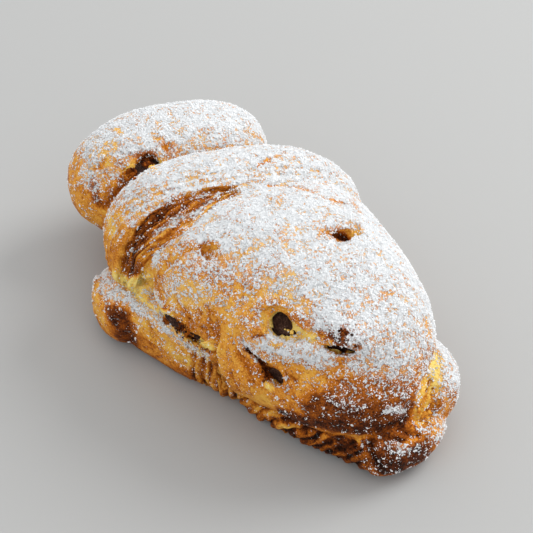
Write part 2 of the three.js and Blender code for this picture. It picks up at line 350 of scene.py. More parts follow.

# %% [markdown]
# ## Marks of this pastry
#
# What makes this pastry itself is its marks: creases, dimples, burnt places, bare places, places
# where the sugar lies thick, and painted shade in some creases and along low edges. They could be
# painted by hand, but a table can be read and mended. It lists them as they are seen from the camera:
# a path in picture coordinates, how wide the mark is in millimetres, its bake, from 0 for yellow crumb
# to 1 for burnt, where a dark bake in the shaded marks paints shade, and the share that sugar covers.
# "deep" carves that many millimetres, or raises if it is negative. What a mark doesn't give stays as
# it was, and later marks lie over earlier ones. A ray from the camera finds each point on the crust,
# so a mark lies on the dough from whatever side it is looked at.

# %% The table of marks
Mark = namedtuple("Mark", "path wide bake sugar deep", defaults=(None, None, 0.0))
MARKS = {
    # name: Mark(path in the picture, wide, bake and painted shade, sugar, deep)
    # the far end
    "far end, golden side": Mark([(74, 160), (74, 188), (88, 212)], 4.5, 0.4, 0.1),
    "far end, thinly dusted": Mark([(92, 145), (96, 158), (90, 176)], 4.0, 0.36, 0.62),
    "thick sugar on the far end": Mark([(96, 138), (108, 131), (128, 124)], 4.2, sugar=0.96),
    "sugar above the pit": Mark([(128, 146), (140, 144), (152, 150)], 2.2, sugar=0.92),
    "yellow ring": Mark([(104, 144), (113, 141), (115, 150), (107, 156), (101, 150)], 1.0, 0.26, 0.35),
    "yellow patch": Mark([(114, 129), (121, 132)], 1.2, 0.28, 0.35),
    "brown slope": Mark([(142, 171), (128, 177), (117, 187)], 2.8, 0.6, 0.14, deep=-0.8),
    "orange slope": Mark([(118, 186), (107, 199)], 2.4, 0.46, 0.12, deep=-0.4),
    # painted shade: the crease behind the wrap gets a dark bake where shade falls
    "shaded crease behind the wrap": Mark(
        [(129, 178), (121, 187), (114, 194), (108, 202)], 0.9, 0.76, 0.0, deep=0.7
    ),
    "bruise": Mark([(94, 182), (93, 190), (97, 200)], 1.6, 0.72, 0.4),
    # painted shade: the dark bake at the foot of the slope stands for the shadow under the lobe
    "shaded foot of the slope": Mark([(99, 203), (107, 206)], 1.4, 0.78, 0.1, deep=0.6),
    "burnt pit": Mark([(141, 159), (150, 158), (156, 164)], 2.4, 0.86, 0.25, deep=0.4),
    "burnt edge of the pit": Mark([(125, 180), (132, 172), (140, 163), (149, 157)], 2.0, 0.76, 0.12),
    "heart of the pit": Mark([(149, 168)], 1.4, 1.0, 0.0, deep=1.0),
    "crumb in the pit": Mark([(153, 172), (157, 169)], 1.1, 0.1, 0.1),
    "orange dent": Mark([(105, 160), (100, 167), (96, 169)], 0.9, 0.5, 0.08, deep=0.6),
    "yellow dent": Mark([(107, 163)], 1.4, 0.2, 0.2, deep=0.4),
    "orange speck": Mark([(155, 134), (157, 140)], 0.9, 0.36, 0.08, deep=0.4),
    "worn end of the far roll": Mark([(248, 130), (255, 134), (262, 139)], 1.3, 0.34, 0.4),
    "second orange speck": Mark([(164, 147), (168, 149)], 0.8, 0.6, 0.1, deep=0.5),
    "neck": Mark([(108, 215), (112, 230)], 2.4, 0.2, 0.2),
    # cracks through the sugar
    "crack on the far wrap": Mark([(258, 165), (269, 160)], 0.8, 0.52, 0.08, deep=0.5),
    "faint crack": Mark([(274, 157), (290, 151)], 0.8, 0.45, 0.5, deep=0.3),
    "bare spots by the dome": Mark(
        [(268, 185), (285, 185), (300, 188), (314, 192)], 0.7, 0.5, 0.3, deep=0.4
    ),
    "crack at the back": Mark([(324, 196), (336, 200), (348, 204)], 0.8, 0.5, 0.1, deep=0.5),
    "worn edge of the wrap": Mark([(351, 194), (354, 204), (356, 214)], 0.9, 0.42, 0.4),
    # the foot of the layers and the crumb line
    "corner of the layers": Mark([(122, 276)], 0.8, 0.95, 0.0, deep=0.8),
    "orange dent in the crumb": Mark([(126, 288)], 0.9, 0.3, 0.05, deep=0.6),
    "sugar between the layers": Mark([(152, 236), (165, 226), (180, 219), (199, 211)], 0.8, sugar=0.6),
    "crumb at the foot": Mark([(120, 277), (130, 283), (142, 290)], 2.8, 0.0, 0.05, deep=-0.9),
    "crumb under the layers": Mark([(134, 280), (142, 278), (149, 276)], 1.5, 0.02, 0.05, deep=-1.2),
    "crumb line": Mark([(128, 284), (137, 298), (152, 308), (163, 316)], 1.1, 0.0, 0.2, deep=0.9),
    "white bulge": Mark([(158, 256), (158, 263)], 1.4, 0.3, 0.95, deep=-0.9),
    "dusted crumb": Mark([(150, 290), (158, 299), (167, 308)], 1.4, 0.2, 0.62, deep=-0.4),
    "slit": Mark([(165, 318), (176, 325), (188, 333), (199, 341)], 1.1, 0.9, 0.0, deep=0.6),
    "lower lip of the slit": Mark([(166, 323), (178, 332), (190, 341)], 1.0, deep=-0.9),
    "upper lip of the slit": Mark([(167, 307), (174, 313)], 1.0, 0.08, 0.15, deep=-1.3),
    "yellow end of the slit": Mark([(203, 340), (210, 345), (217, 350)], 1.4, 0.0, 0.05, deep=-0.5),
    "shadow under the slit": Mark([(203, 349), (215, 353)], 0.6, 0.7, 0.0, deep=0.8),
    # the front of the dome
    "fold": Mark(
        [(199, 246), (189, 249), (176, 260), (165, 269), (158, 280), (156, 286)], 0.8, 0.5, 0.12, deep=0.6
    ),
    "shoulder": Mark([(175, 290), (200, 300)], 6.5, 0.3, 0.42),
    "crack on the shoulder": Mark([(165, 304), (172, 309)], 0.4, 0.8, 0.1, deep=0.6),
    "orange shoulder": Mark([(190, 318), (205, 325)], 3.4, 0.5, 0.15),
    "wrinkle": Mark([(199, 310), (204, 328), (206, 337)], 0.7, 0.66, 0.1, deep=0.8),
    "second wrinkle": Mark([(206, 306), (211, 322), (214, 337)], 0.7, 0.64, 0.1, deep=0.8),
    "third wrinkle": Mark([(213, 311), (217, 325), (218, 336)], 0.7, 0.6, 0.1, deep=0.6),
    "fourth wrinkle": Mark([(186, 312), (195, 333)], 0.8, 0.6, 0.15, deep=0.6),
    "fifth wrinkle": Mark([(176, 300), (186, 322)], 0.8, 0.55, 0.2, deep=0.5),
    "dimple": Mark([(205, 247), (209, 253)], 1.2, 0.42, 0.1, deep=0.9),
    "rim of the dimple": Mark([(204, 251), (208, 258), (215, 257)], 0.8, 0.52, 0.0, deep=0.7),
    "brown edge of the dimple": Mark([(199, 246)], 0.6, 0.62, 0.0, deep=0.3),
    # the eye, the mouth and the slot
    "eye": Mark([(339, 237), (349, 234), (357, 230)], 1.6, 0.3, 0.02, deep=1.9),
    "corner of the eye": Mark([(325, 231), (333, 236)], 1.0, 0.48, 0.05, deep=0.9),
    "dark of the eye": Mark([(336, 233), (345, 236)], 0.85, 0.96, 0.0, deep=0.6),
    "bare spots on the right side": Mark([(386, 291), (397, 294)], 1.2, 0.44, 0.5),
    "bare edge by the near fold": Mark([(424, 318), (430, 334)], 1.6, 0.4, 0.5),
    "lip of the eye": Mark([(330, 227), (345, 223), (358, 224)], 1.0, 0.4, 0.75, deep=-0.6),
    "brow of the mouth": Mark([(258, 306), (276, 301), (292, 306)], 1.5, 0.48, 0.3, deep=-0.5),
    "top of the mouth": Mark([(262, 312), (274, 309), (287, 310)], 0.9, 0.34, 0.04, deep=0.5),
    "orange side of the mouth": Mark([(298, 318), (309, 326)], 2.0, 0.55, 0.18, deep=-0.4),
    "left wall of the mouth": Mark([(264, 317), (265, 331)], 1.2, 0.24, 0.0, deep=0.5),
    "orange patch by the mouth": Mark([(246, 331), (257, 333)], 1.4, 0.44, 0.05),
    "line by the mouth": Mark([(254, 337), (262, 335)], 0.4, 0.8, 0.0, deep=0.6),
    "right wall of the mouth": Mark([(293, 329), (301, 333), (311, 337)], 1.6, 0.05, 0.1, deep=1.0),
    "white ledge": Mark([(250, 345), (275, 348), (300, 352), (325, 362)], 3.2, sugar=0.95, deep=-0.7),
    "patch on the ledge": Mark([(264, 353), (274, 356), (283, 361)], 1.7, 0.54, 0.3),
    "second patch on the ledge": Mark([(300, 362), (311, 366)], 1.6, 0.5, 0.3),
    "gap in the sugar of the ledge": Mark([(270, 342), (280, 346)], 0.7, 0.3, 0.2),
    "thick sugar by the slot": Mark([(320, 320), (338, 324), (350, 334)], 3.0, 0.72, 0.86, deep=-0.6),
    "crack to the slot": Mark([(309, 330), (321, 336), (329, 344)], 0.5, 0.66, 0.1, deep=0.7),
    "bare patch over the mouth": Mark([(238, 300), (252, 318), (246, 330)], 2.2, 0.42, 0.25),
    "burnt brow of the slot": Mark([(332, 337), (343, 342)], 1.5, 0.92, 0.3, deep=-0.3),
    "lip of the slot": Mark([(329, 343), (342, 347), (355, 346)], 1.1, 0.34, 0.3, deep=-0.3),
    "sugar right of the slot": Mark([(366, 351), (388, 354), (408, 352)], 4.6, sugar=0.82),
    "sugar over the chin": Mark([(352, 366), (376, 373), (404, 376)], 2.6, 0.5, 0.6),
    "bare patch over the chin": Mark([(328, 372), (342, 377)], 2.0, 0.5, 0.2),
    "slot": Mark([(331, 351), (340, 353), (349, 351), (356, 347)], 0.8, 0.97, 0.0, deep=1.8),
    # the jaw
    "jaw": Mark([(236, 360), (240, 380)], 6.0, 0.45, 0.05, deep=-0.6),
    "left edge of the jaw": Mark(
        [(216, 340), (216, 360), (220, 378), (226, 388)], 0.9, 0.62, 0.05, deep=1.8
    ),
    "dent of the jaw": Mark([(240, 352), (247, 366), (252, 380)], 1.1, 0.66, 0.05, deep=0.8),
    "small dent of the jaw": Mark([(233, 372), (240, 388)], 0.9, 0.6, 0.05, deep=0.5),
    "crease": Mark([(248, 349), (259, 357), (266, 366), (274, 376)], 0.8, 0.9, 0.0, deep=1.9),
    # painted shade: the low edge of the jaw gets a darker bake as shade
    "shaded low edge of the jaw": Mark([(230, 391), (250, 404), (275, 413)], 3.0, 0.52, 0.05),
    "left of the chin": Mark([(280, 396), (294, 406), (310, 402)], 4.4, 0.5, 0.1),
    "shade by the crease": Mark([(262, 371), (265, 379)], 1.5, 0.7, 0.0, deep=1.1),
    "fold by the pocket": Mark([(285, 376), (295, 379)], 0.7, 0.74, 0.0, deep=0.8),
    "pocket of the crease": Mark([(268, 372), (277, 382)], 1.8, 0.98, 0.0, deep=1.2),
    "crumb by the pocket": Mark([(266, 384), (271, 389)], 1.1, 0.12, 0.05),
    # the chin
    "front above the chin": Mark([(335, 392), (360, 391), (388, 390), (412, 394)], 4.0, 0.68, 0.24),
    # the chin is dark partly from baking and partly as painted shade of the underside
    "chin": Mark([(318, 408), (345, 412), (380, 416), (405, 412)], 5.0, 0.86, 0.06),
    # painted shadow along the low edge of the chin
    "shadow along the low edge of the chin": Mark([(285, 414), (340, 426), (385, 428), (412, 420)], 3.0, 0.95, 0.04),
    "sugar on the chin": Mark([(335, 400), (362, 406)], 2.0, sugar=0.3),
    "thick sugar on the chin": Mark([(386, 411), (396, 408), (403, 412)], 1.0, sugar=0.85, deep=-0.3),
    # painted shade: the band under the chin, darker towards the right
    "shade on the top of the skirt": Mark([(275, 423), (300, 430)], 1.4, 0.45, 0.0),
    "dark shade on the top of the skirt": Mark([(310, 433), (350, 438)], 1.4, 0.7, 0.0),
    # the near end
    "yellow fold": Mark([(437, 356), (437, 372), (434, 390)], 2.2, 0.0, 0.2, deep=0.9),
    "orange fold": Mark([(430, 386), (425, 402), (420, 418)], 2.8, 0.18, 0.03, deep=0.8),
    "fan line": Mark([(434, 380), (428, 398), (419, 410)], 0.5, 0.62, 0.0, deep=1.0),
    "second fan line": Mark([(437, 390), (431, 408), (422, 420)], 0.5, 0.6, 0.0, deep=1.0),
    "third fan line": Mark([(438, 402), (433, 416), (425, 427)], 0.5, 0.58, 0.0, deep=1.0),
    "crumb of the tip": Mark([(431, 433), (418, 436), (407, 442)], 1.8, 0.44, 0.14),
    "dusted top of the tip": Mark([(392, 457), (402, 454), (412, 449), (425, 450)], 1.3, 0.7, 0.56),
    "pore": Mark([(419, 436)], 0.7, 1.0, 0.0, deep=1.4),
    "inner layers": Mark([(376, 436), (395, 434), (410, 430)], 2.4, 0.78, 0.0),
    "dark line of the inner layers": Mark(
        [(372, 432), (390, 437), (404, 441)], 0.6, 0.93, 0.0, deep=1.0
    ),
    "second line of the inner layers": Mark(
        [(386, 426), (401, 429), (413, 436)], 0.6, 0.88, 0.0, deep=0.9
    ),
    "light tip of the inner layers": Mark([(408, 424), (412, 429)], 0.9, 0.42, 0.0, deep=-0.4),
    "bare side of the tip": Mark([(367, 446), (374, 456)], 2.6, 0.8, 0.03),
    "crease beside the tip": Mark([(370, 441), (373, 455), (380, 467)], 0.8, 0.9, 0.0, deep=1.2),
    "ridge of the tip": Mark([(434, 425), (440, 431)], 2.2, 0.42, 0.3),
    "low side of the near fold": Mark([(448, 404), (440, 417)], 2.4, 0.44, 0.2),
    # the tip and its foot are dark partly from baking and partly as painted shade of the underside
    "tip": Mark([(382, 462), (400, 466), (420, 456)], 5.0, 0.95, 0.12),
    "shaded foot of the tip": Mark([(385, 471), (401, 467)], 2.0, 0.97, 0.1),
    # the seam and its cap
    "burnt cap": Mark([(117, 317), (124, 326), (127, 338)], 3.8, 0.9, 0.03),
    "front of the cap": Mark([(94, 296), (100, 318)], 3.0, 0.31, 0.08),
    "dusted top of the cap": Mark(
        [(103, 284), (114, 290), (127, 298), (137, 309), (141, 319)], 1.9, 0.42, 0.66
    ),
    "peak of the cap": Mark([(99, 281)], 1.4, 0.5, 0.4, deep=-1.3),
    "corner of the cap": Mark([(94, 285), (92, 294)], 1.8, 0.42, 0.28),
    "dusted edge of the seam": Mark([(138, 305), (163, 325), (188, 345), (206, 357)], 1.7, 0.34, 0.72),
    "front of the seam": Mark([(140, 325), (165, 345), (190, 362)], 3.2, 0.27, 0.16),
    "wrinkle of the seam": Mark([(150, 325), (153, 340)], 0.9, 0.55, 0.1, deep=1.0),
    "second wrinkle of the seam": Mark([(176, 348), (180, 365)], 0.9, 0.58, 0.1, deep=1.0),
    "end of the seam": Mark([(200, 370), (210, 380)], 3.2, 0.56, 0.08),
}
print(sum(mark.deep != 0 for mark in MARKS.values()), "of", len(MARKS), "marks carve or raise")

# %% From the picture onto the crust
MARK_EDGE = (0.35, 1.25)
MARK_STRENGTH = 0.9


def surface_of(piece):
    return BVHTree.FromPolygons(
        [v.co[:] for v in piece.data.vertices], [p.vertices[:] for p in piece.data.polygons]
    )


def sight_line(x, y):
    """The direction in which the camera sees a place in the picture."""
    return right * (x - IMAGE / 2) + up * (IMAGE / 2 - y) - back * PIXELS_PER_MM * DISTANCE


def seen_at(surface, x, y):
    """The point of the surface, in mm, that is seen at a place in the picture."""
    hit = surface.ray_cast(camera.location, sight_line(x, y))[0]
    if hit is None:
        raise ValueError(f"nothing is seen at {x}, {y}")
    return np.array(hit) / MM


def from_path(points, path):
    """Distance of each point from a path, in mm."""
    if len(path) == 1:
        return np.linalg.norm(points - path[0], axis=1)
    best = np.full(len(points), 1e9)
    for a, b in zip(path[:-1], path[1:]):
        t = np.clip((points - a) @ (b - a) / ((b - a) @ (b - a)), 0, 1)
        best = np.minimum(best, np.linalg.norm(points - a - t[:, None] * (b - a), axis=1))
    return best


def mark_mask(points, path, wide):
    """1 on the path and 0 away from it, with an uneven edge between."""
    distance = from_path(points, path) / wide
    return 1 - soft_step(*MARK_EDGE, distance + 0.2 * uneven(points, max(1.2, 0.5 * wide), 13))


crust_surface = surface_of(crust)
points, normals = corners(crust)
marks = []
for mark in MARKS.values():
    path = [seen_at(crust_surface, x, y) for x, y in mark.path]
    marks.append((mark, mark_mask(points, path, mark.wide)))
print(len(marks), "marks laid on the crust")

# %% [markdown]
# ## Carving the crust
#
# Everything that is carved is a height in millimetres at each corner, added along the normal: slow
# swellings and dimples all over, the steps between the layers, the pleats, and the marks. Close to
# the filling nothing is carved, so the crust never cuts through the chocolate. There the corners
# slide sideways instead, which makes the rims of the openings ragged, as torn dough is.

# %% Ridges of layers and pleats
LAYER_RELIEF = 0.5
STEP_DOWN = 1.2
PLEAT_RELIEF = 1.1


def ridges(place, roundness):
    """Rounded ridges with narrow valleys between them: 1 on a ridge, 0 in a valley."""
    return np.abs(np.sin(np.pi * place)) ** roundness


def streaks(over, round_place, seed):
    """Noise that is stretched along the layers."""
    return uneven(np.stack([over, round_place, np.zeros(len(over))], axis=1), 1.0, seed)


def layer_heights(over, angle, mask):
    place = LAYERS * over + 0.35 * streaks(over * 4, angle / 22, 52)
    step_down = -STEP_DOWN * (1 - over) * soft_step(-0.02, 0.05, over)
    layers = LAYER_RELIEF * (ridges(place, 0.8) - 0.65) + 0.35 * streaks(place, angle / 30, 53)
    return mask * (step_down + layers)


def pleat_heights(pleat, above, mask):
    folds = PLEAT_RELIEF * (ridges(pleat, 0.6) - 0.8) * (1 + 0.6 * streaks(pleat / 2, above / 20, 57))
    folds += 0.4 * streaks(pleat, above / 9, 54)
    return mask * (folds + 0.2 * streaks(3 * pleat, above / 7, 55))


# %% Heights
SWELLINGS = ((0.36, 8, 1), (0.22, 3.2, 2), (0.13, 1.5, 9))  # height, size, seed of the noise
CARVED_FROM = (0.45, 1.6)
RAGGED_WITHIN = (1.5, 3.5)
RAGGED_BY = 1.2
RAG_SIZE = 1.7
RESTS_BELOW = 0.5


def keep_value(piece, name, values):
    layer = piece.data.attributes.new(name, "FLOAT", "POINT")
    layer.data.foreach_set("value", values.astype(np.float32))


filling_surface = surface_of(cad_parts["filling"])
to_filling = np.array([filling_surface.find_nearest(Vector(p * MM))[3] for p in points]) / MM
over, angle, layered = layers_chart(points)
pleat, above, pleated = pleats_chart(points)
height = sum(high * uneven(points, size, seed) for high, size, seed in SWELLINGS)
height += layer_heights(over, angle, layered) + pleat_heights(pleat, above, pleated)
for mark, mask in marks:
    height -= mark.deep * mask
height *= np.where(height < 0, soft_step(*CARVED_FROM, to_filling), 1)
resting = points[:, 2] < RESTS_BELOW
height[resting] = 0
points = points + normals * height[:, None]
ragged = np.stack([uneven(points, RAG_SIZE, seed) for seed in (61, 62, 63)], axis=1)
ragged -= (ragged * normals).sum(axis=1, keepdims=True) * normals
points += RAGGED_BY * ragged * (1 - soft_step(*RAGGED_WITHIN, to_filling))[:, None] * ~resting[:, None]
points[:, 2] = np.where(resting & (normals[:, 2] < -0.5), 0.0, np.maximum(points[:, 2], 0.0))
move_corners(crust, points)
keep_value(crust, "layer place", np.where(layered > 0.01, LAYERS * over, 1.5 * pleat))
keep_value(crust, "layer run", np.where(layered > 0.01, angle / 12, above / 3))
keep_value(crust, "layered", np.maximum(layered, 0.7 * pleated))
print("layers on", int((layered > 0.5).sum()), "corners, pleats on", int((pleated > 0.5).sum()))

# %% [markdown]
# ## How brown the crust is, and where shade is painted
#
# Dough browns where it stands proud of its neighbours and stays yellow where two wraps lie together.
# The bake is a number at every corner: 0 is raw yellow crumb, 0.4 golden, 0.7 brown and 1 burnt. It
# starts from the shape itself, by how hollow the surface is and how near the tray, then come the
# layers and the pleats, then the raw dough beside the filling, and last the marks. Some of it is
# painted shade: the low parts are darker partly from the tray and partly as the underside's shade,
# and the hollows of the layers and pleats are darkened where shade falls.

# %% Hollows
HOLLOW_ROUNDS = 10
HOLLOW_FULL = 0.35


def hollowness(piece):
    """How much each corner lies in a hollow, from about -1 on a ridge to 1 in a valley."""
    points, normals = corners(piece)
    count = len(points)
    edges = np.empty(len(piece.data.edges) * 2, dtype=int)
    piece.data.edges.foreach_get("vertices", edges)
    a, b = edges.reshape(-1, 2).T
    degree = np.bincount(a, minlength=count) + np.bincount(b, minlength=count)
    smooth = points.copy()
    for _ in range(HOLLOW_ROUNDS):
        total = np.stack(
            [
                np.bincount(a, smooth[b, axis], count) + np.bincount(b, smooth[a, axis], count)
                for axis in range(3)
            ],
            axis=1,
        )
        smooth = mix(smooth, total / degree[:, None], 0.6)
    return np.clip(((smooth - points) * normals).sum(axis=1) / HOLLOW_FULL, -1, 1)


hollow = hollowness(crust)
print("hollow corners:", round(100 * float((hollow > 0.3).mean())), "%")

# %% Bake and painted shade
GOLDEN = 0.42
RAW = 0.05
LAYER_BAKES = ((0, 0.15, 0.75, 1.0, 1.2, 1.7), (0.68, 0.78, 0.72, 0.60, 0.52, 0.46))
RAW_WITHIN = (0.8, 2.6)

points, normals = corners(crust)
bake = GOLDEN + 0.12 * uneven(points, 9, 21) + 0.09 * uneven(points, 3, 22)
bake -= 0.14 * np.clip(hollow, -0.6, 1)
# darker within 5 mm of the tray: partly browning on the tray, partly painted shade of the underside
bake += 0.30 * (1 - soft_step(0.5, 5.0, points[:, 2])) * (points[:, 2] > 0.01)
dark_share = 0.88 - 0.46 * soft_step(5, 40, angle)
layer_bake = np.interp(over / dark_share, *LAYER_BAKES)
layer_bake = mix(layer_bake, 0.54, 0.8 * soft_step(40, 70, angle))
layer_bake = mix(0.06, layer_bake, soft_step(-9, -5, angle + 2 * uneven(points, 2, 24)))
bake = mix(bake, layer_bake + 0.15 * streaks(1.6 * LAYERS * over, angle / 30, 53), layered)
# the pleats darken towards the near end: partly baking, partly painted shade of the skirt under the chin
pleat_bake_and_shade = mix(0.6, 0.92, soft_step(18, 40, points[:, 0])) + 0.12 * uneven(points, 4, 25)
bake = mix(bake, pleat_bake_and_shade, 0.85 * pleated)
# darker towards the bottom: partly browning, partly painted shade of the lower parts
bake += 0.08 * (1 - soft_step(8, 24, points[:, 2]))
bake = mix(bake, RAW, 1 - soft_step(*RAW_WITHIN, to_filling))
for mark, mask in marks:
    if mark.bake is not None:
        bake = mix(bake, mark.bake, MARK_STRENGTH * mask)
# painted shade: the hollows of the layers and the pleats are made darker where shade falls
bake = np.clip(bake + hollow * (0.12 * layered + 0.22 * pleated), 0, 1)
print("mean bake", round(float(bake.mean()), 2))

# %% [markdown]
# ## Where the sugar falls
#
# Icing sugar is shaken from a sieve held above the pastry. It lies thick where the surface faces the
# sieve, thins out over a wide zone, and even on steep faces some of it clings. Little reaches what
# is overhung. So the amount at a corner comes from the normal, and from a few rays sent upwards to
# find what shelters it. Between the layers it lies in strokes, and the marks have the last word.

# %% Open sky
SIEVE = unit((-0.19, 0.61, 0.77))
RAY_SPREAD = [np.array(d) for d in ((0, 0, 0), (0.4, 0.3, 0), (-0.4, 0.3, 0), (0, -0.5, 0))]
RAY_START = 0.6
RAY_LENGTH = 60


def open_sky(piece, wanted):
    """The share of the rays sent up from each corner that leave the pastry freely."""
    points, normals = corners(piece)
    tree = surface_of(piece)
    ahead = normals * 0.7 + np.array([0, 0, 1.0])
    starts = (points + normals * RAY_START) * MM
    seen = np.zeros(len(points))
    for i in np.nonzero(wanted)[0]:
        start = Vector(starts[i])
        for tilt in RAY_SPREAD:
            seen[i] += tree.ray_cast(start, Vector(ahead[i] + tilt), RAY_LENGTH * MM)[0] is None
    return seen / len(RAY_SPREAD)


facing = normals @ SIEVE
sky = open_sky(crust, (facing > -0.75) & (normals[:, 2] > -0.5) & (points[:, 2] > 0.1))
print("corners under an open sky:", round(100 * float((sky > 0.99).mean())), "%")

# %% Sugar on the crust
sugar = 0.98 * soft_step(-0.62, 0.88, facing + 0.10 * uneven(points, 6, 31)) ** 1.2
sugar *= mix(0.15, 1, sky) * soft_step(-0.45, 0.15, normals[:, 2])
sugar += 0.16 * uneven(points, 3.5, 32) * soft_step(0.05, 0.3, sugar)
sugar *= 1 - 0.5 * np.clip(hollow, 0, 1)
strokes = soft_step(-0.25, 0.5, streaks(0.8 * LAYERS * over, angle / 16, 56))
strokes *= 0.62 * soft_step(5, 60, angle) * soft_step(0.2, 0.5, over + 0.5 * soft_step(45, 75, angle))
sugar = mix(sugar, np.maximum(strokes, 0.04), 0.95 * layered) * (1 - 0.8 * pleated)
sugar *= soft_step(*RAW_WITHIN, to_filling)
for mark, mask in marks:
    if mark.sugar is not None:
        sugar = mix(sugar, mark.sugar, MARK_STRENGTH * mask)
sugar = np.clip(sugar, 0, 1)
keep_value(crust, "bake", bake)
keep_value(crust, "sugar", sugar)
print("mean sugar", round(float(sugar.mean()), 2))

# %% [markdown]
# ## Shared shader groups
#
# Each effect is a node group with named inputs, so that any material can use it. Speckle is the fine
# mottling and pitting of anything baked. Dusting turns the amount of sugar at a place into a mask
# with grains and larger patches in it: their noise is added to the amount, and what comes near 1 is
# white, so more sugar closes the gaps between the grains, as it does in the kitchen. A thin veil
# covers the gaps where there is much of it. Layer lines are the thin sheets of dough inside each
# layer, drawn along the layers with the help of the places kept on the mesh.


# %% Node helpers
def new_group(name, inputs, outputs):
    group = bpy.data.node_groups.new(name, "ShaderNodeTree")
    for label, default in inputs:
        socket = group.interface.new_socket(label, in_out="INPUT", socket_type="NodeSocketFloat")
        socket.default_value = default
    for label in outputs:
        group.interface.new_socket(label, in_out="OUTPUT", socket_type="NodeSocketFloat")
    return group, group.nodes.new("NodeGroupInput"), group.nodes.new("NodeGroupOutput")


def add(tree, kind, **settings):
    node = tree.nodes.new(kind)
    for key, value in settings.items():
        setattr(node, key, value)
    return node


def maths(tree, operation, a, b, clamp=False):
    node = add(tree, "ShaderNodeMath", operation=operation, use_clamp=clamp)
    for socket, value in zip(node.inputs, (a, b)):
        if isinstance(value, (int, float)):
            socket.default_value = value
        else:
            tree.links.new(value, socket)
    return node.outputs[0]


def plus(tree, a, b, clamp=False):
    return maths(tree, "ADD", a, b, clamp)


def times(tree, a, b):
    return maths(tree, "MULTIPLY", a, b)


def noise_mm(tree, size, detail, rough=0.5):
    """Noise on object coordinates, with swellings about size mm apart."""
    place = add(tree, "ShaderNodeTexCoord")
    texture = add(tree, "ShaderNodeTexNoise")
    texture.inputs["Scale"].default_value = 1 / (size * MM)
    texture.inputs["Detail"].default_value = detail
    texture.inputs["Roughness"].default_value = rough
    tree.links.new(place.outputs["Object"], texture.inputs["Vector"])
    return texture.outputs["Fac"]


def spread(tree, value, low, high, to_low=0.0, to_high=1.0):
    """A soft step in a material: what lies between low and high is spread to the other two."""
    node = add(tree, "ShaderNodeMapRange", interpolation_type="SMOOTHSTEP")
    tree.links.new(value, node.inputs["Value"])
    limits = {"From Min": low, "From Max": high, "To Min": to_low, "To Max": to_high}
    for label, number in limits.items():
        node.inputs[label].default_value = number
    return node.outputs["Result"]


# %% Speckle
def build_speckle():
    group, given, result = new_group("Speckle", [("Strength", 1.0)], ["Value", "Height"])
    coarse = spread(group, noise_mm(group, 2.2, 3), 0.3, 0.7, -0.3, 0.3)
    fine = spread(group, noise_mm(group, 0.45, 2), 0.35, 0.65, -0.25, 0.25)
    pores = spread(group, noise_mm(group, 0.8, 3, 0.6), 0.56, 0.68)
    darker = plus(group, plus(group, coarse, fine), times(group, pores, 0.45))
    darker = maths(group, "SUBTRACT", darker, 0.1)
    group.links.new(times(group, darker, given.outputs["Strength"]), result.inputs["Value"])
    pimples = plus(group, noise_mm(group, 0.9, 4, 0.6), times(group, fine, 0.5))
    pitted = maths(group, "SUBTRACT", pimples, times(group, pores, 0.35))
    group.links.new(pitted, result.inputs["Height"])
    return group


# %% Dusting
GRAIN_SIZE = 0.64
PATCH_SIZE = 2.2
GRAIN_SHARE = 0.57
PATCH_SHARE = 0.43
AMOUNT_REACH = 0.84
VEIL = 0.22


def build_dusting():
    group, given, result = new_group("Dusting", [("Amount", 0.5)], ["Mask", "Height", "Grain shading"])
    amount = given.outputs["Amount"]
    grains = spread(group, noise_mm(group, GRAIN_SIZE, 3, 0.6), 0.36, 0.64)
    patches = spread(group, noise_mm(group, PATCH_SIZE, 2), 0.36, 0.64)
    pattern = plus(group, times(group, grains, GRAIN_SHARE), times(group, patches, PATCH_SHARE))
    mask = spread(group, plus(group, times(group, amount, AMOUNT_REACH), pattern), 0.95, 1.05)
    veil = spread(group, amount, 0.15, 1.0, 0.0, VEIL)
    group.links.new(maths(group, "MAXIMUM", mask, veil), result.inputs["Mask"])
    group.links.new(times(group, mask, plus(group, grains, 0.3)), result.inputs["Height"])
    # Grain shading: 0 is grey painted shade between the grains, 1 lit white; thick sugar leaves less of
    # the shade
    thick = spread(group, amount, 0.6, 1.0, 0.0, 0.55)
    grain = spread(group, noise_mm(group, 0.6, 3, 0.65), 0.3, 0.6)
    group.links.new(plus(group, grain, thick, clamp=True), result.inputs["Grain shading"])
    return group


# %% Layer lines
LINES_ACROSS = 2.2
LINES_ALONG = 0.45


def build_layer_lines():
    inputs = [("Place", 0.0), ("Run", 0.0), ("Layered", 0.0)]
    group, given, result = new_group("Layer lines", inputs, ["Value", "Height"])
    stretched = add(group, "ShaderNodeCombineXYZ")
    group.links.new(times(group, given.outputs["Place"], LINES_ACROSS), stretched.inputs["X"])
    group.links.new(times(group, given.outputs["Run"], LINES_ALONG), stretched.inputs["Y"])
    texture = add(group, "ShaderNodeTexNoise")
    texture.inputs["Scale"].default_value = 1.0
    texture.inputs["Detail"].default_value = 3.0
    group.links.new(stretched.outputs["Vector"], texture.inputs["Vector"])
    lines = spread(group, texture.outputs["Fac"], 0.33, 0.67, -0.5, 0.5)
    held = times(group, lines, given.outputs["Layered"])
    group.links.new(held, result.inputs["Value"])
    group.links.new(held, result.inputs["Height"])
    return group


speckle = build_speckle()
dusting = build_dusting()
layer_lines = build_layer_lines()
print("node groups:", speckle.name, dusting.name, layer_lines.name)

# %% [markdown]
# ## The crust's finish
#
# The bake number picks a colour from a ramp that runs from yellow crumb through gold and brown to
# burnt. Sugar lies over it as a rough white, and the crust shows through where it lies thin. Between
# its grains a grey is painted as their shade, which thicker sugar covers. Three bumps follow each
# other: the pores of the crust, the thin sheets at the edges of the layers, and the thickness of the
# sugar.

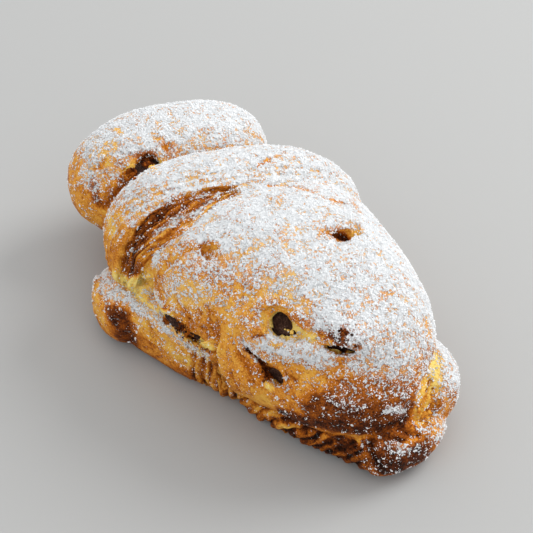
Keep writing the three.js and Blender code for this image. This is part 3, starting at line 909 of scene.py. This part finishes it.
# %% Colours
BAKE_COLOURS = [
    (0.00, (255, 226, 130)),
    (0.18, (246, 194, 86)),
    (0.38, (232, 158, 60)),
    (0.54, (198, 112, 28)),
    (0.70, (147, 75, 18)),
    (0.85, (91, 40, 11)),
    (1.00, (33, 15, 7)),
]
# the dark end of the sugar tones is painted shade between the grains
SUGAR_TONES_AND_GAP_SHADE = [(0.0, (150, 142, 132)), (0.26, (220, 220, 220)), (1.0, (248, 250, 251))]


def linear(colour):
    """A colour given in screen values, 0 to 255, as the light values that a shader wants."""
    values = [c / 255 for c in colour]
    return [c / 12.92 if c <= 0.04045 else ((c + 0.055) / 1.055) ** 2.4 for c in values] + [1.0]


# %% Material helpers
SHINE = 0.08


def new_material(name, roughness):
    material = bpy.data.materials.new(name)
    material.use_nodes = True
    shader = material.node_tree.nodes["Principled BSDF"]
    shader.inputs["Roughness"].default_value = roughness
    shader.inputs["Specular IOR Level"].default_value = SHINE
    return material, material.node_tree, shader


def value_of(tree, name):
    return add(tree, "ShaderNodeAttribute", attribute_name=name).outputs["Fac"]


def colour_ramp(tree, value, stops):
    ramp = add(tree, "ShaderNodeValToRGB")
    points = ramp.color_ramp.elements
    while len(points) < len(stops):
        points.new(0.5)
    for element, (place, colour) in zip(points, stops):
        element.position = place
        element.color = linear(colour)
    tree.links.new(value, ramp.inputs["Fac"])
    return ramp.outputs["Color"]


def place_group(tree, group, **values):
    node = add(tree, "ShaderNodeGroup", node_tree=group)
    for label, value in values.items():
        if isinstance(value, (int, float)):
            node.inputs[label].default_value = value
        else:
            tree.links.new(value, node.inputs[label])
    return node


def bump(tree, height, distance, normal=None):
    node = add(tree, "ShaderNodeBump")
    node.inputs["Distance"].default_value = distance * MM
    tree.links.new(height, node.inputs["Height"])
    if normal is not None:
        tree.links.new(normal, node.inputs["Normal"])
    return node.outputs["Normal"]


def blend_colours(tree, amount, first, second):
    """Mix two colours. Sockets 6 and 7 of the node take them, and socket 2 gives the result."""
    node = add(tree, "ShaderNodeMix", data_type="RGBA")
    for socket, value in zip((node.inputs["Factor"], *node.inputs[6:8]), (amount, first, second)):
        tree.links.new(value, socket)
    return node.outputs[2]


def feed(tree, shader, colour, normal):
    tree.links.new(colour, shader.inputs["Base Color"])
    tree.links.new(normal, shader.inputs["Normal"])


def finish_piece(piece, material, node=None):
    piece.data.materials.append(material)
    piece.data.polygons.foreach_set("use_smooth", np.ones(len(piece.data.polygons), dtype=bool))
    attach(piece, "root")
    if node:
        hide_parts(node)


# %% Crust material
CRUST_ROUGHNESS = 0.5
SUGAR_ROUGHNESS = 0.95
LINE_STRENGTH = 0.26
PORE_DEPTH = 0.42
SHEET_DEPTH = 0.4
POWDER_DEPTH = 0.26


def crust_material():
    material, tree, shader = new_material("baked crust", CRUST_ROUGHNESS)
    mottle = place_group(tree, speckle, Strength=0.27)
    lines = place_group(
        tree,
        layer_lines,
        Place=value_of(tree, "layer place"),
        Run=value_of(tree, "layer run"),
        Layered=value_of(tree, "layered"),
    )
    lined = plus(tree, value_of(tree, "bake"), times(tree, lines.outputs["Value"], LINE_STRENGTH))
    browning_and_shade = plus(tree, lined, mottle.outputs["Value"], clamp=True)
    dust = place_group(tree, dusting, Amount=value_of(tree, "sugar"))
    dusted = dust.outputs["Mask"]
    # the ramp colour holds painted shade wherever the bake value was darkened for shade
    baked = colour_ramp(tree, browning_and_shade, BAKE_COLOURS)
    powder_with_gap_shade = colour_ramp(tree, dust.outputs["Grain shading"], SUGAR_TONES_AND_GAP_SHADE)
    pores = bump(tree, mottle.outputs["Height"], PORE_DEPTH)
    sheets = bump(tree, lines.outputs["Height"], SHEET_DEPTH, pores)
    powder = bump(tree, dust.outputs["Height"], POWDER_DEPTH, sheets)
    feed(tree, shader, blend_colours(tree, dusted, baked, powder_with_gap_shade), powder)
    rough = spread(tree, dusted, 0, 1, CRUST_ROUGHNESS, SUGAR_ROUGHNESS)
    tree.links.new(rough, shader.inputs["Roughness"])
    return material


finish_piece(crust, crust_material(), "dough")
print("nodes of the crust's material:", len(crust.active_material.node_tree.nodes))

# %% [markdown]
# ## The filling
#
# Chocolate cream sets lumpy and a little shiny. Its solid is remade from voxels too, swollen a
# little so that it closes the gap to the dough, made lumpy with noise, and given a dark brown with a
# soft gloss.

# %% Filling
FILLING_SWELL = 0.5
FILLING_VOXEL = 0.8
CHOCOLATE_TONES = [(0.0, (36, 22, 18)), (0.5, (70, 47, 38)), (1.0, (112, 86, 72))]


def filling_material():
    material, tree, shader = new_material("dark filling", roughness=0.42)
    mottle = place_group(tree, speckle, Strength=0.8)
    brown = colour_ramp(tree, plus(tree, mottle.outputs["Value"], 0.5), CHOCOLATE_TONES)
    feed(tree, shader, brown, bump(tree, mottle.outputs["Height"], 0.5))
    return material


chocolate = new_piece("chocolate", merged_mesh("filling", FILLING_SWELL))
remesh(chocolate, FILLING_VOXEL)
relax(chocolate)
inner, outward = corners(chocolate)
lumps = 0.6 * uneven(inner, 2.4, 41) + 0.4 * uneven(inner, 1.2, 42) - 0.1
move_corners(chocolate, inner + outward * lumps[:, None])
finish_piece(chocolate, filling_material(), "filling")
print("chocolate triangles:", triangle_count(chocolate))

# %% [markdown]
# ## Grains of sugar
#
# The dusting in the material is flat. Close to, icing sugar is lumps that stand up and cast tiny
# shadows, so thousands of real grains lie on top of it. A shape that is repeated so often has to be
# simple: one grain is a ball of only eight triangles, with its corners pushed about at random. Copies
# are strewn over the crust, more where there is more sugar, and joined into one mesh per kind.


# %% One grain
def grain_shape(rounder):
    bm = bmesh.new()
    if rounder:
        bmesh.ops.create_icosphere(bm, subdivisions=1, radius=0.5)
    else:
        bmesh.ops.create_uvsphere(bm, u_segments=4, v_segments=2, radius=0.5)
    bmesh.ops.triangulate(bm, faces=bm.faces)
    shape = np.array([v.co[:] for v in bm.verts])
    faces = np.array([[v.index for v in f.verts] for f in bm.faces])
    bm.free()
    return shape, faces


# %% Random places on a mesh
def strewn_on(piece, count, chance):
    """Random places on a mesh with their normals, drawn by area times the chance at each corner."""
    piece.data.calc_loop_triangles()
    corner_ids = np.empty(len(piece.data.loop_triangles) * 3, dtype=int)
    piece.data.loop_triangles.foreach_get("vertices", corner_ids)
    triangles = corner_ids.reshape(-1, 3)
    points, normals = corners(piece)
    a, b, c = (points[triangles[:, i]] for i in range(3))
    area = np.linalg.norm(np.cross(b - a, c - a), axis=1) / 2
    weight = area * chance[triangles].mean(axis=1)
    chosen = rng.choice(len(triangles), count, p=weight / weight.sum())
    u, v = rng.random(count), rng.random(count)
    flip = u + v > 1
    u[flip], v[flip] = 1 - u[flip], 1 - v[flip]
    w = 1 - u - v
    places = w[:, None] * a[chosen] + u[:, None] * b[chosen] + v[:, None] * c[chosen]
    return places, normals[triangles[chosen, 0]]


# %% Many grains in one mesh
SQUASH = (0.7, 1.3)
BUMPS = (0.75, 1.25)
RAISED_BY = 0.2


def strew(name, places, normals, sizes, material, rounder=False):
    """One mesh of a grain at each place, each turned, squashed and dented in its own way."""
    shape, faces = grain_shape(rounder)
    count = len(places)
    turned, _ = np.linalg.qr(rng.normal(size=(count, 3, 3)))
    squash = rng.uniform(*SQUASH, size=(count, 1, 3))
    bumps = rng.uniform(*BUMPS, size=(count, len(shape), 1))
    grains = (shape[None] * bumps * squash) @ turned * sizes[:, None, None]
    centres = places + normals * (RAISED_BY * sizes)[:, None]
    all_points = (grains + centres[:, None]).reshape(-1, 3) * MM
    all_faces = (faces[None] + (np.arange(count) * len(shape))[:, None, None]).reshape(-1, 3)
    mesh = bpy.data.meshes.new(name)
    mesh.from_pydata(all_points, [], all_faces)
    piece = add_object(name, mesh)
    finish_piece(piece, material)
    print(name, "has", len(all_faces), "triangles")
    return piece


# %% Sugar material
ICING_TONES = [(0.0, (234, 235, 236)), (1.0, (249, 250, 250))]


def sugar_material():
    material, tree, shader = new_material("icing sugar", roughness=0.9)
    tone = spread(tree, noise_mm(tree, 1.2, 2), 0.3, 0.7)
    rounding = bump(tree, noise_mm(tree, 0.25, 2), 0.08)
    feed(tree, shader, colour_ramp(tree, tone, ICING_TONES), rounding)
    return material


icing = sugar_material()
print("sugar material:", icing.name)

# %% [markdown]
# ## Three kinds of sugar
#
# One size of grain looks like salt. Icing sugar has powder where it lies thick, single specks that
# also reach the bare places, and clumps of a few grains that stick together, mostly where the
# dusting thins out.

# %% Strew powder, specks and clumps
POWDER = dict(count=24000, sizes=(0.2, 0.42))
SPECKS = dict(count=24000, sizes=(0.12, 0.26))
CLUMPS = 4400
CLUMP_GRAINS = 5
CLUMP_SPREAD = 0.26
CLUMP_SIZES = (0.22, 0.52)


def strew_sugar(name, chance, count, sizes):
    places, leans = strewn_on(crust, count, chance)
    strew(name, places, leans, rng.uniform(*sizes, count), icing)


blotches = soft_step(-0.6, 0.5, uneven(points, 1.7, 33))
strew_sugar("sugar_powder", sugar * (0.15 + blotches), **POWDER)
thinly = np.minimum(sugar + 0.05 * (sugar > 0.02), 0.5)
strew_sugar("sugar_specks", thinly * (0.4 + blotches), **SPECKS)

centres, leans = strewn_on(crust, CLUMPS, sugar * (1.2 - sugar) * (0.1 + blotches))
scatter = rng.normal(0, CLUMP_SPREAD, size=(CLUMPS, CLUMP_GRAINS, 3))
scatter -= (scatter * leans[:, None]).sum(axis=2, keepdims=True) * leans[:, None]
places = (centres[:, None] + scatter).reshape(-1, 3)
leans = np.repeat(leans, CLUMP_GRAINS, axis=0)
strew("sugar_clumps", places, leans, rng.uniform(*CLUMP_SIZES, len(places)), icing)

# %% [markdown]
# ## Crumbs
#
# Where the roll burst open, crumbs lie in the openings and at their edges, some burnt, some raw. They
# are thrown at the picture from the camera, and each stays on whatever it hits first, dough or
# chocolate. Each crumb is a rough ball of twenty triangles. How brown it is comes from a value kept on
# its corners, so that one material serves them all.

# %% Where crumbs lie
CRUMBS = {
    # where: (x and y in the picture, how far they spread in mm, how many, size in mm, bake)
    "in the burnt pit": ((147, 161), 1.6, 110, 0.7, 0.88),
    "below the burnt pit": ((131, 173), 1.3, 90, 0.8, 0.74),
    "crumb beside the pit": ((152, 167), 0.7, 14, 0.7, 0.2),
    "left of the mouth": ((266, 330), 1.2, 16, 0.6, 0.3),
    "right of the mouth": ((291, 334), 1.2, 14, 0.6, 0.04),
    "in the slit": ((202, 341), 1.2, 14, 0.7, 0.12),
    "along the slit": ((182, 328), 1.8, 50, 0.6, 0.88),
    "edge of the slit": ((188, 333), 1.8, 30, 0.6, 0.6),
    "in the crease": ((267, 374), 1.5, 26, 0.6, 0.86),
    "on the burnt brow": ((343, 334), 1.4, 26, 0.7, 0.9),
    "in the fold of the near end": ((424, 414), 1.8, 30, 0.9, 0.4),
}
print("crumbs are thrown at", len(CRUMBS), "places")


# %% Crumb material
def crumb_material():
    material, tree, shader = new_material("crumbs", roughness=0.75)
    mottle = place_group(tree, speckle, Strength=0.15)
    browning_and_shade = plus(tree, value_of(tree, "bake"), mottle.outputs["Value"], clamp=True)
    baked = colour_ramp(tree, browning_and_shade, BAKE_COLOURS)
    feed(tree, shader, baked, bump(tree, mottle.outputs["Height"], 0.15))
    return material


# %% Throw the crumbs
SIZE_VARIES = (0.5, 1.3)
BAKE_VARIES = 0.08

targets = (surface_of(crust), surface_of(chocolate))
places, leans, sizes, browning = [], [], [], []
for at, spread_mm, count, size, tone in CRUMBS.values():
    for x, y in rng.normal(at, spread_mm * PIXELS_PER_MM * 0.5, size=(count, 2)):
        hits = [target.ray_cast(camera.location, sight_line(x, y)) for target in targets]
        hits = [hit for hit in hits if hit[0] is not None]
        if not hits:
            continue
        place, lean, _, _ = min(hits, key=lambda hit: hit[3])
        places.append(np.array(place) / MM)
        leans.append(np.array(lean))
        sizes.append(size * rng.uniform(*SIZE_VARIES))
        browning.append(tone + rng.normal(0, BAKE_VARIES))
places, leans, sizes = (np.array(values) for values in (places, leans, sizes))
crumbs = strew("crumbs", places, leans, sizes, crumb_material(), rounder=True)
each = len(crumbs.data.vertices) // len(places)
keep_value(crumbs, "bake", np.repeat(np.clip(browning, 0, 1), each))

# %% [markdown]
# ## Floor and light
#
# A pale floor and soft, nearly white light keep the crust's own colours. Most of the light comes from
# all round. One large lamp stands far to the right, so that the sugar glows and the front of the roll
# falls into soft shade.

# %% Floor
FLOOR_COLOUR = (0.42, 0.42, 0.41, 1)


def pale_floor():
    bm = bmesh.new()
    bmesh.ops.create_grid(bm, x_segments=1, y_segments=1, size=3)
    floor = new_piece("floor", bm)
    material, _, shader = new_material("pale floor", roughness=0.85)
    shader.inputs["Base Color"].default_value = FLOOR_COLOUR
    floor.data.materials.append(material)
    return floor


floor = pale_floor()
print("floor", [round(side, 1) for side in floor.dimensions], "m")


# %% Lights
WORLD_COLOUR = (0.97, 0.98, 1.0, 1)
WORLD_STRENGTH = 1.06


def soft_light(name, direction, distance, size, power):
    data = bpy.data.lights.new(name, "AREA")
    data.shape = "DISK"
    data.size = size
    data.energy = power
    lamp = add_object(name, data)
    lamp.location = Vector(direction).normalized() * distance
    lamp.rotation_mode = "QUATERNION"
    lamp.rotation_quaternion = lamp.location.to_track_quat("Z", "Y")
    return lamp


key = soft_light("key", direction=(0.10, 0.75, 0.65), distance=0.9, size=0.5, power=4.8)
world = bpy.data.worlds.new("studio")
world.use_nodes = True
sky_light = world.node_tree.nodes["Background"]
sky_light.inputs["Color"].default_value = WORLD_COLOUR
sky_light.inputs["Strength"].default_value = WORLD_STRENGTH
bpy.context.scene.world = world
bpy.context.scene.view_settings.view_transform = "Standard"
print("key lamp", round(key.data.energy, 1), "W,", round(key.location.length, 1), "m away")
